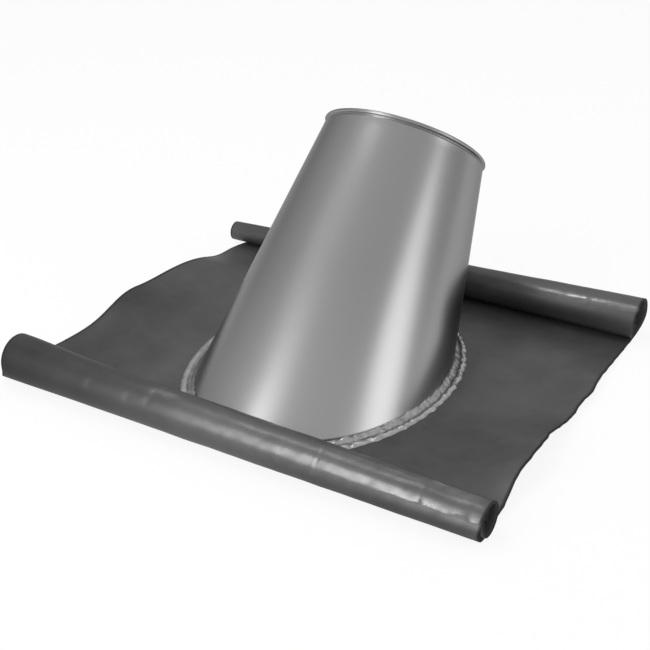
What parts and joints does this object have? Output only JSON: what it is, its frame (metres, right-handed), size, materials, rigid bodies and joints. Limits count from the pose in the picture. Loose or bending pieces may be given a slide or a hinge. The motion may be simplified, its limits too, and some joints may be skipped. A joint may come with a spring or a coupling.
{
  "type": "pipe flashing boot",
  "caption": "Lead roof flashing with rolled-up ends and a soldered, leaning steel cone that a round flue passes through.",
  "frame": {"origin": "where the flue's axis crosses the plane of the apron's underside", "axes": "+Z square to the roof, +Y up the roof's slope, +X along the rolled ends, to the right when looking up the slope"},
  "size_m": [0.6562, 0.5308, 0.2987],
  "materials": {
    "lead": "dull dark grey sheet lead, dressed by hand",
    "steel": "satin stainless steel",
    "solder": "dull, lumpy solder"
  },
  "bodies": {
    "root": {"lead_apron": "lead", "steel_cone": "steel", "solder_seam": "solder"}
  },
  "joints": []
}
